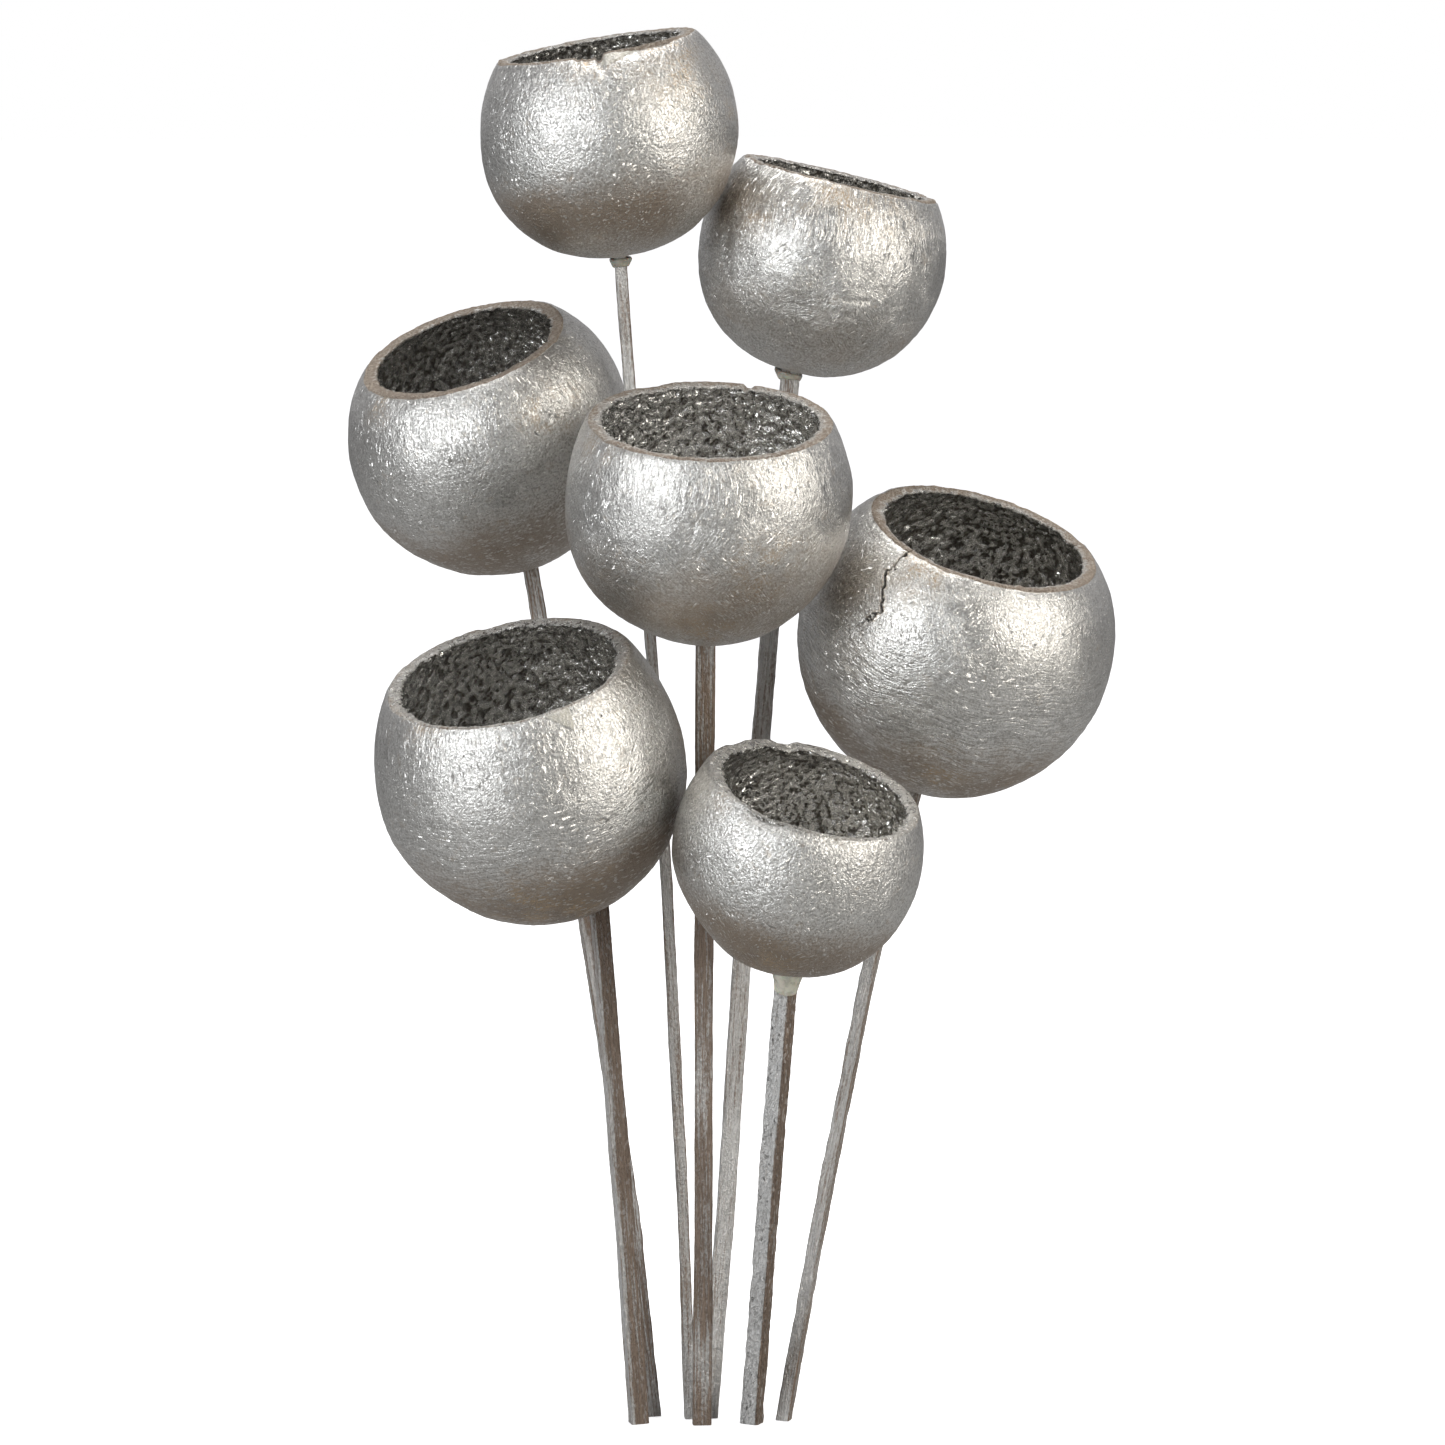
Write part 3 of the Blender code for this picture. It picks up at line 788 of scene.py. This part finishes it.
class Graph:
    """A short way to write the nodes of a material or a world."""

    def __init__(self, owner):
        self.owner = owner
        owner.use_nodes = True
        self.tree = owner.node_tree

    def add(self, kind, *values, **settings):
        """Adds a node, and feeds its first inputs."""
        node = self.tree.nodes.new("ShaderNode" + kind)
        for key, value in settings.items():
            setattr(node, key, value)
        for socket, value in zip(node.inputs, values):
            self.feed(socket, value)
        return node

    def feed(self, socket, value):
        if isinstance(value, bpy.types.NodeSocket):
            self.tree.links.new(value, socket)
        else:
            socket.default_value = value

    def attribute(self, name, output="Fac"):
        return self.add("Attribute", attribute_name=name).outputs[output]

    def place(self):
        return self.add("TexCoord").outputs["Object"]

    def stretch(self, vector, scale):
        node = self.add("Mapping", vector)
        node.inputs["Scale"].default_value = scale
        return node.outputs["Vector"]

    def noise(self, vector, scale=1.0, detail=2.0, roughness=0.5):
        node = self.add("TexNoise")
        values = {"Vector": vector, "Scale": scale, "Detail": detail, "Roughness": roughness}
        for name, value in values.items():
            self.feed(node.inputs[name], value)
        return node.outputs["Fac"]

    def spots(self, low, high, *noise, **shape):
        """Noise with its contrast raised: 0 below low and 1 above high."""
        return self.ramp(self.noise(*noise, **shape), low, high)

    def cells(self, vector, scale, output):
        node = self.add("TexVoronoi", vector)
        node.inputs["Scale"].default_value = scale
        return node.outputs[output]

    def math(self, operation, first, *others):
        for value in others:
            first = self.add("Math", first, value, operation=operation).outputs[0]
        return first

    def plus(self, *values):
        return self.math("ADD", *values)

    def minus(self, first, second):
        return self.math("SUBTRACT", first, second)

    def times(self, *values):
        return self.math("MULTIPLY", *values)

    def larger(self, *values):
        return self.math("MAXIMUM", *values)

    def sum_of(self, *pairs):
        """Adds up values, each multiplied by its weight."""
        return self.plus(*(self.times(value, weight) for value, weight in pairs))

    def ramp(self, value, low, high, to_low=0.0, to_high=1.0):
        """Takes low..high to to_low..to_high, smoothly, and holds it there."""
        node = self.add("MapRange", value, low, high, to_low, to_high,
                        interpolation_type="SMOOTHSTEP")
        return node.outputs["Result"]

    def blend(self, share, first, second):
        """Mixes two colours."""
        node = self.add("Mix", share, data_type="RGBA")
        for index, value in ((6, first), (7, second)):
            self.feed(node.inputs[index], (*value, 1.0) if isinstance(value, tuple) else value)
        return node.outputs[2]

    def blend_value(self, share, first, second):
        node = self.add("Mix", share, data_type="FLOAT")
        self.feed(node.inputs[2], first)
        self.feed(node.inputs[3], second)
        return node.outputs[0]

    def bump(self, height, distance):
        node = self.add("Bump")
        self.feed(node.inputs["Height"], height)
        node.inputs["Distance"].default_value = distance * MM
        node.inputs["Strength"].default_value = 1.0
        return node.outputs["Normal"]

    def flakes(self, place, most, scale=1.0):
        """1 in a few of the small cells, and 0 in most of them."""
        red = self.add("SeparateColor", self.cells(place, scale, "Color"))
        return self.ramp(red.outputs["Red"], most, most + 0.02)

    def vector_math(self, operation, *values):
        return self.add("VectorMath", *values, operation=operation).outputs[0]

    def glitter(self, normal, place, tilt, scale=1.0):
        """Tilts the normal a little at random in each small cell, like flakes in paint."""
        colour = self.cells(place, scale, "Color")
        lean = self.vector_math("SUBTRACT", colour, (0.5, 0.5, 0.5))
        scaled = self.add("VectorMath", lean, operation="SCALE")
        self.feed(scaled.inputs["Scale"], tilt)
        tilted = self.vector_math("ADD", scaled.outputs[0], normal)
        return self.vector_math("NORMALIZE", tilted)

    def finish(self, **inputs):
        shader = self.tree.nodes["Principled BSDF"]
        for name, value in inputs.items():
            self.feed(shader.inputs[name.replace("_", " ")], value)
        return self.owner


SILVER_BRIGHT = (0.885, 0.87, 0.835)
SILVER_DULL = (0.43, 0.415, 0.39)
BROWN = (0.33, 0.268, 0.212)
TAN = (0.56, 0.41, 0.25)
DARK = (0.03, 0.022, 0.015)
PEELED = (0.60, 0.57, 0.49)
EDGE_BARE = (0.46, 0.385, 0.31)
EDGE_BARE_DARK = (0.28, 0.22, 0.17)
EDGE_SILVER = (0.70, 0.68, 0.64)
# Between the lining's grains: partly bare fibre, partly painted shade in the gaps.
RECESS = (0.19, 0.175, 0.15)
LINING_SILVER = (0.93, 0.92, 0.89)
STICK_PAINT = (0.84, 0.83, 0.81)
STICK_PAINT_DULL = (0.46, 0.445, 0.425)
WOOD = (0.31, 0.235, 0.18)
WOOD_DARK = (0.13, 0.09, 0.063)
GLUE_PALE = (0.70, 0.68, 0.57)
GLUE_DULL = (0.54, 0.52, 0.42)
GLUE_DARK = (0.16, 0.15, 0.125)
FLAKE_CELL = (2.6, 2.6, 1.5)  # flakes of paint per mm, across the strands and along them
RING_CELL = (1.0, 1.0, 2.6)
UPRIGHT_CELL = (2.6, 2.6, 0.7)
STICK_CELL = (2.2, 2.2, 1.0)
PER_MM = 1 / MM


def strokes(g, along, shortness=0.6):
    """Short brush and fibre strokes along one direction, from coordinates in mm."""
    return g.spots(0.40, 0.62, g.stretch(along, (3.0, 3.0, shortness)))


def husk_material():
    """Thin silver paint brushed over a fibrous husk, with the brown showing through, and browner towards
    the bottom partly as painted shade and a painted reflection of the floor.
    """
    g = Graph(bpy.data.materials.new("silver husk"))
    place, strand = g.place(), g.attribute("strand", "Vector")
    left, right = g.attribute("strand_left", "Vector"), g.attribute("strand_right", "Vector")
    deep = g.attribute("deep")
    side = g.spots(0.46, 0.54, place, 0.17 * PER_MM, detail=1)
    high = g.times(g.ramp(deep, 0.5, 0.15), g.attribute("upright"))
    low = g.times(g.ramp(deep, 0.2, 0.5, 0.35, 1.0), g.attribute("around"))
    crossing = g.blend_value(side, strokes(g, left), strokes(g, right))
    crossing = g.blend_value(high, crossing, strokes(g, strand, 0.16))
    rings = g.noise(g.stretch(strand, (0.22, 0.22, 2.3)), detail=4)
    fibre = g.blend_value(low, crossing, g.ramp(rings, 0.38, 0.62))
    sand = g.spots(0.36, 0.64, place, 1.5 * PER_MM, roughness=0.6)
    sandy = g.attribute("sandy")
    fibre = g.blend_value(g.times(sandy, 0.85), fibre, sand)
    speck = g.spots(0.36, 0.64, place, 2.1 * PER_MM, roughness=0.65)
    grit = g.spots(0.34, 0.66, place, 0.85 * PER_MM, roughness=0.6)
    tone = g.sum_of((fibre, 0.55), (speck, 0.45))
    cloud = g.noise(place, 0.14 * PER_MM, detail=4, roughness=0.65)
    shade = g.sum_of((tone, 0.75), (cloud, 0.5))
    paint = g.blend(g.ramp(shade, 0.2, 0.95), SILVER_DULL, SILVER_BRIGHT)
    # Brown towards the bottom: partly real wear, partly painted shade and a painted floor reflection.
    wear_and_shade = g.plus(g.attribute("wear_and_shade"), g.times(cloud, 0.7))
    wear_and_shade = g.ramp(g.minus(wear_and_shade, g.times(tone, 0.3)), 0.2, 1.05)
    spots = g.spots(0.60, 0.72, place, 0.30 * PER_MM)
    tan = g.larger(g.attribute("tan"), g.times(spots, 0.3))
    tan = g.times(tan, g.ramp(tone, 0.15, 0.7, 0.8, 0.1))
    strip = g.blend(side, g.stretch(left, FLAKE_CELL), g.stretch(right, FLAKE_CELL))
    strip = g.blend(g.ramp(low, 0.44, 0.46), strip, g.stretch(strand, RING_CELL))
    strip = g.blend(g.ramp(high, 0.44, 0.46), strip, g.stretch(strand, UPRIGHT_CELL))
    flake = g.flakes(strip, 0.88)
    colour = g.blend(wear_and_shade, paint, BROWN)
    colour = g.blend(tan, colour, TAN)
    colour = g.blend(g.times(flake, 0.6), colour, SILVER_BRIGHT)
    pit = g.ramp(g.cells(place, 0.16 * PER_MM, "Distance"), 0.02, 0.048, 1.0, 0.0)
    # The crack's opening is painted near black, as painted shade inside it.
    dark = g.larger(pit, g.attribute("crack"))
    colour = g.blend(g.times(dark, 0.95), colour, DARK)
    peel = g.times(g.attribute("peel"), g.ramp(speck, 0, 1, 0.95, 0.45))
    colour = g.blend(peel, colour, PEELED)
    lost = g.larger(g.times(wear_and_shade, 0.4), g.times(tan, 0.6))
    lost = g.times(lost, g.ramp(flake, 0, 1, 1.0, 0.2))
    lost = g.larger(lost, dark, g.times(peel, 0.8))
    metal = g.minus(0.97, g.times(lost, 0.85))
    rough = g.plus(g.ramp(tone, 0.1, 0.9, 0.35, 0.26), g.times(lost, 0.15), g.times(sandy, 0.02))
    sanded = g.times(sand, sandy)
    height = g.sum_of((fibre, 0.27), (speck, 0.09), (grit, 0.10), (sanded, 0.12))
    height = g.minus(height, g.times(dark, 0.5))
    return g.finish(
        Base_Color=colour, Metallic=metal, Roughness=rough,
        Normal=g.glitter(g.bump(height, 0.3), strip, g.ramp(flake, 0, 1, 0.13, 0.75)),
    )


def edge_material():
    """The sawn edge: bare fibre with a wipe of paint, and grains along its inner side."""
    g = Graph(bpy.data.materials.new("sawn edge"))
    place = g.place()
    fibre = g.spots(0.34, 0.66, place, 1.5 * PER_MM, detail=3, roughness=0.65)
    cloud = g.noise(place, 0.30 * PER_MM)
    inward = g.math("POWER", g.attribute("inward"), 2.0)
    silver = g.sum_of((cloud, 0.8), (inward, 0.5))
    silver = g.minus(g.plus(silver, g.times(fibre, 0.3)), g.attribute("bare"))
    silver = g.ramp(silver, -0.1, 0.45)
    bare = g.blend(fibre, EDGE_BARE_DARK, EDGE_BARE)
    colour = g.blend(g.times(silver, 0.9), bare, EDGE_SILVER)
    # The crack's opening is painted near black, as painted shade inside it.
    colour = g.blend(g.attribute("crack"), colour, DARK)
    flake = g.times(g.flakes(place, 0.68, 1.4 * PER_MM), silver)
    colour = g.blend(g.times(flake, 0.85), colour, SILVER_BRIGHT)
    return g.finish(
        Base_Color=colour, Metallic=g.times(silver, 0.9),
        Roughness=g.minus(g.ramp(silver, 0, 1, 0.7, 0.33), g.times(flake, 0.12)),
        Normal=g.glitter(g.bump(fibre, 0.3), place, g.ramp(flake, 0, 1, 0.4, 1.4), 1.4 * PER_MM),
    )


def lining_material():
    """The pebbled inside: silver on the grains' tops, and dark brown between them that is partly bare
    fibre and partly painted shade, darker still towards the bottom as painted shade.
    """
    g = Graph(bpy.data.materials.new("pebbled lining"))
    place, deep = g.place(), g.attribute("deep")
    speck = g.spots(0.36, 0.64, place, 1.5 * PER_MM, roughness=0.6)
    peak = g.plus(g.attribute("peak"), g.times(speck, 0.2))
    shine = g.ramp(peak, 0.34, 0.72)
    # Painted shade: the inside darkens towards the bottom of the cup.
    shine = g.times(shine, g.ramp(deep, 0.1, 1.0, 1.0, 0.55))
    flake = g.flakes(place, 0.62, 1.3 * PER_MM)
    # Dark between the grains: partly bare fibre, partly painted shade.
    colour = g.blend(shine, RECESS, LINING_SILVER)
    return g.finish(
        Base_Color=colour, Metallic=g.ramp(shine, 0, 0.4, 0.6, 1.0),
        Roughness=g.ramp(shine, 0, 1, 0.4, 0.15),
        Normal=g.glitter(g.bump(speck, 0.1), place, g.ramp(flake, 0, 1, 0.15, 1.0), 1.3 * PER_MM),
    )


def stick_material():
    """Planed wood with thin silver paint, worn to brown in long streaks, with one face browner partly as
    painted shade, and one stick's paint painted brighter as a painted reflection.
    """
    g = Graph(bpy.data.materials.new("silver stick"))
    strand = g.attribute("strand", "Vector")
    line = g.spots(0.34, 0.66, g.stretch(strand, (2.0, 2.0, 0.06)), detail=4, roughness=0.62)
    hair = g.spots(0.34, 0.66, g.stretch(strand, (4.5, 4.5, 0.3)), roughness=0.6)
    speck = g.spots(0.36, 0.64, g.stretch(strand, (2.2, 2.2, 1.1)), roughness=0.6)
    tone = g.sum_of((line, 0.55), (hair, 0.45))
    wear_and_shade = g.plus(g.attribute("wear_and_shade"), g.times(line, 0.6))
    wear_and_shade = g.minus(wear_and_shade, g.times(speck, 0.2))
    wear_and_shade = g.ramp(wear_and_shade, 0.3, 0.95)
    sparkle = g.attribute("sparkle")
    strip = g.stretch(strand, STICK_CELL)
    flake = g.times(g.flakes(strip, 0.9), sparkle)
    # Painted reflection: past a roughness of 1 the paint is painted brighter in place of the left lamp's
    # reflection, and its flakes tilt further.
    painted_sheen = g.ramp(sparkle, 1.0, 1.6)
    paint = g.blend(g.plus(tone, g.times(painted_sheen, 0.5)), STICK_PAINT_DULL, STICK_PAINT)
    wood = g.blend(tone, WOOD_DARK, WOOD)
    colour = g.blend(wear_and_shade, paint, wood)
    colour = g.blend(g.times(flake, 0.16), colour, STICK_PAINT)
    height = g.plus(g.times(tone, 0.8), g.times(speck, sparkle))
    tilt = g.plus(g.ramp(painted_sheen, 0, 1, 0.06, 0.5), g.times(flake, 0.5))
    metal = g.times(g.attribute("metal"), g.ramp(wear_and_shade, 0, 1, 1.0, 0.25))
    return g.finish(
        Base_Color=colour, Metallic=metal, Roughness=g.ramp(wear_and_shade, 0, 1, 0.44, 0.6),
        Normal=g.glitter(g.bump(height, 0.2), strip, tilt),
    )


def glue_material():
    """Cloudy yellow-grey hot melt glue, flecked with paint, and darker by each collar's given amounts,
    most at its upper end.
    """
    g = Graph(bpy.data.materials.new("hot melt glue"))
    place = g.place()
    cloud = g.noise(place, 0.45 * PER_MM, detail=3, roughness=0.6)
    fleck = g.spots(0.58, 0.68, place, 1.3 * PER_MM)
    colour = g.blend(g.ramp(cloud, 0.4, 0.62), GLUE_DULL, GLUE_PALE)
    colour = g.blend(g.times(fleck, 0.4), colour, STICK_PAINT_DULL)
    colour = g.blend(g.attribute("darkening"), colour, GLUE_DARK)
    return g.finish(
        Base_Color=colour, Roughness=g.ramp(cloud, 0.35, 0.65, 0.22, 0.4),
        Normal=g.bump(cloud, 0.25), Subsurface_Weight=0.35, Subsurface_Scale=1.2 * MM,
    )


# --- the studio ---


def only_for_camera(g, output, seen, reflected):
    """Ends a graph in two shaders: one for the camera, and one that lights and reflects."""
    path = g.add("LightPath")
    mix = g.add("MixShader", path.outputs["Is Camera Ray"], reflected, seen)
    g.feed(g.tree.nodes[output].inputs["Surface"], mix.outputs[0])


FLOOR_GREY = 0.38  # the floor as the paint reflects it
FLOOR_PALE, FLOOR_GLOW = 0.9, 0.85  # the floor as the camera sees it
FLOOR_RADIUS = 6.0  # metres
FLOOR_GAP = 0.2  # keeps the floor clear of the sticks' feet
ROOM_TINT = (0.97, 0.97, 1.0, 1)
ROOM_FRONT, ROOM_BACK = 0.15, 0.40  # the room is darker behind the camera than behind the bunch
ROOM_TURN = 0.8  # how far to the front and back a direction points where those are reached


def make_room():
    """A room that the camera sees as white and the paint as grey."""
    world = bpy.data.worlds.new("studio")
    bpy.context.scene.world = world
    g = Graph(world)
    seen = g.tree.nodes["Background"]
    g.feed(seen.inputs["Color"], (1, 1, 1, 1))
    g.feed(seen.inputs["Strength"], 1.0)
    split = g.add("SeparateXYZ", g.add("TexCoord").outputs["Generated"])
    shade = g.add("MapRange", split.outputs["Y"], -ROOM_TURN, ROOM_TURN, ROOM_FRONT, ROOM_BACK)
    room = g.add("Background", ROOM_TINT, shade.outputs["Result"])
    only_for_camera(g, "World Output", seen.outputs[0], room.outputs[0])


def floor_material():
    """Pale and glowing for the camera, and plain grey for what lights the bunch."""
    g = Graph(bpy.data.materials.new("pale floor"))
    g.tree.nodes.remove(g.tree.nodes["Principled BSDF"])
    grey = g.add("BsdfDiffuse", (FLOOR_GREY, FLOOR_GREY, FLOOR_GREY, 1))
    pale = g.add("BsdfDiffuse", (FLOOR_PALE, FLOOR_PALE, FLOOR_PALE, 1))
    glow = g.add("Emission", (1, 1, 1, 1), FLOOR_GLOW)
    both = g.add("AddShader", pale.outputs[0], glow.outputs[0])
    only_for_camera(g, "Material Output", both.outputs[0], grey.outputs[0])
    return g.owner


def make_floor():
    bm = bmesh.new()
    bmesh.ops.create_circle(bm, cap_ends=True, segments=96, radius=FLOOR_RADIUS)
    mesh = bpy.data.meshes.new("floor")
    bm.to_mesh(mesh)
    bm.free()
    mesh.materials.append(floor_material())
    floor = add_object("floor", mesh)
    floor.location.z = cad_low.z - FLOOR_GAP * MM


# The lamps: direction from the bunch's middle, distance, size, power and colour.
SOFTBOXES = {
    "left box": ((-0.68, -0.72, 0.22), 1.2, (0.54, 0.95), 8.7, (0.94, 0.97, 1.0)),
    "right box": ((0.83, -0.47, 0.29), 1.2, (0.54, 0.95), 8.0, (1.0, 0.965, 0.90)),
    "top box": ((0.0, 0.1, 1.0), 1.3, (0.8, 0.8), 9.0, (1.0, 1.0, 1.0)),
}


def add_softbox(name, aim, way, distance, size, power, colour):
    """A square lamp that stands off from aim in a direction, and faces it."""
    lamp = bpy.data.lights.new(name, "AREA")
    lamp.shape = "RECTANGLE"
    lamp.size, lamp.size_y = size
    lamp.energy = power
    lamp.color = colour
    box = add_object(name, lamp)
    box.location = aim + Vector(way).normalized() * distance
    box.rotation_euler = (aim - box.location).to_track_quat("-Z", "Y").to_euler()


CAMERA_AIM = Vector((4.9, -14.0, 168.9)) * MM  # from the centre stick's foot, the origin
CAMERA_DISTANCE = 1.5
CAMERA_ELEVATION = 8
CAMERA_LENS, CAMERA_SENSOR = 162.48, 36.0


def add_camera():
    """Looks a little down on the bunch through a long lens."""
    camera = add_object("camera", bpy.data.cameras.new("camera"))
    camera.data.lens = CAMERA_LENS
    camera.data.sensor_width = CAMERA_SENSOR
    camera.data.clip_end = 50.0
    elevation = math.radians(CAMERA_ELEVATION)
    away = Vector((0, -math.cos(elevation), math.sin(elevation)))
    camera.location = CAMERA_AIM + CAMERA_DISTANCE * away
    camera.rotation_euler = (-away).to_track_quat("-Z", "Y").to_euler()
    bpy.context.scene.camera = camera


def main():
    pod_materials = (husk_material(), edge_material(), lining_material())
    stick, glue = stick_material(), glue_material()
    for name, look in PODS.items():
        pieces = (
            (make_pod(name, look, pod_materials), "pod_", "silver_pod"),
            (make_stick(name, STICK_LOOKS[name], stick), "stick_", "silver_stick"),
            (make_glue(name, glue), "glue_", "glue"),
        )
        for piece, kind, slot in pieces:
            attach(piece, BODY)
            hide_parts(kind + name)
    make_room()
    make_floor()
    for name, lamp in SOFTBOXES.items():
        add_softbox(name, (cad_low + cad_high) / 2, *lamp)
    add_camera()
    bpy.context.scene.view_settings.view_transform = "Standard"


main()
